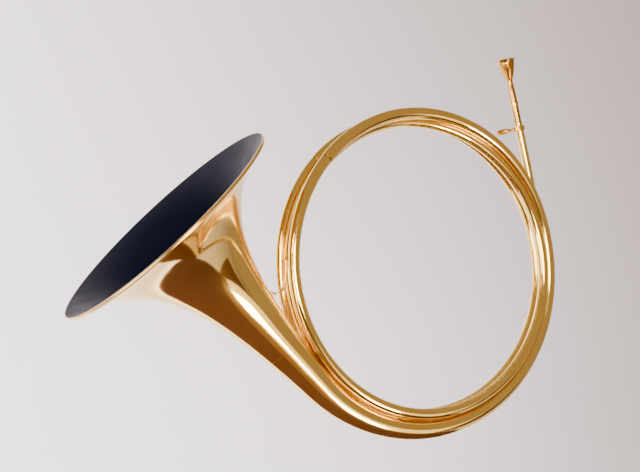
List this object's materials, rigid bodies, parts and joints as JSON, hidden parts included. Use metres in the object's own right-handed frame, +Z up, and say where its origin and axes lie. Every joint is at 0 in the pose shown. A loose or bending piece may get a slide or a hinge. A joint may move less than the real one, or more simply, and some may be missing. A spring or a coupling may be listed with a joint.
{
  "type": "natural hunting horn",
  "caption": "Natural hunting horn: brass tube coiled in a wide hoop, straight flared bell, graduated tuning slide with a clamp, removable mouthpiece.",
  "frame": {"origin": "The inside of the hoop at its upper left, straight above the centre of mass, where a tied cord carries the horn.", "axes": "+X to the right as the audience sees it, the bell to the left; +Y away from the audience towards the player; +Z up, as the horn hangs"},
  "size_m": [0.6138, 0.279, 0.4636],
  "materials": {
    "tube_brass": "polished, lacquered gold",
    "bell_brass": "polished gold outside, black lacquer inside the bell",
    "wire_brass": "drawn and polished",
    "fitting_brass": "polished",
    "mouthpiece_brass": "turned and polished"
  },
  "bodies": {
    "horn": {"bell_branch": "tube_brass", "bell_flare": "bell_brass", "bell_joint_ring": "tube_brass", "bell_stay": "wire_brass", "clamp_collar": "fitting_brass", "coil_tube_1": "tube_brass", "coil_tube_2": "tube_brass", "coil_tube_3": "tube_brass", "coil_tube_4": "tube_brass", "coil_tube_5": "tube_brass", "mouthpipe": "tube_brass", "rim_bead": "bell_brass", "rim_wire": "wire_brass", "seam_sleeve_1": "tube_brass", "seam_sleeve_2": "tube_brass", "seam_sleeve_3": "tube_brass", "seam_sleeve_4": "tube_brass", "seam_sleeve_5": "tube_brass", "seam_sleeve_6": "tube_brass", "slide_sleeve": "tube_brass"},
    "tuning_slide": {"tuning_slide": "tube_brass", "slide_ferrule": "fitting_brass"},
    "mouthpiece": {"mouthpiece": "mouthpiece_brass"},
    "thumb_screw": {"thumb_screw": "fitting_brass"}
  },
  "joints": [
    {"name": "slide_travel", "type": "slide", "parent": "horn", "child": "tuning_slide", "axis": [-0.1736, 0, 0.9848], "range_m": [-0.022, 0.012]},
    {"name": "mouthpiece_draw", "type": "slide", "parent": "tuning_slide", "child": "mouthpiece", "axis": [-0.1736, 0, 0.9848], "range_m": [0, 0.03]},
    {"name": "screw_turn", "type": "hinge", "parent": "horn", "child": "thumb_screw", "pos_m": [0.23483, 0.00802, 0.02683], "axis": [-0.5927, 0.7986, -0.1045], "range_deg": [0, 180]}
  ]
}
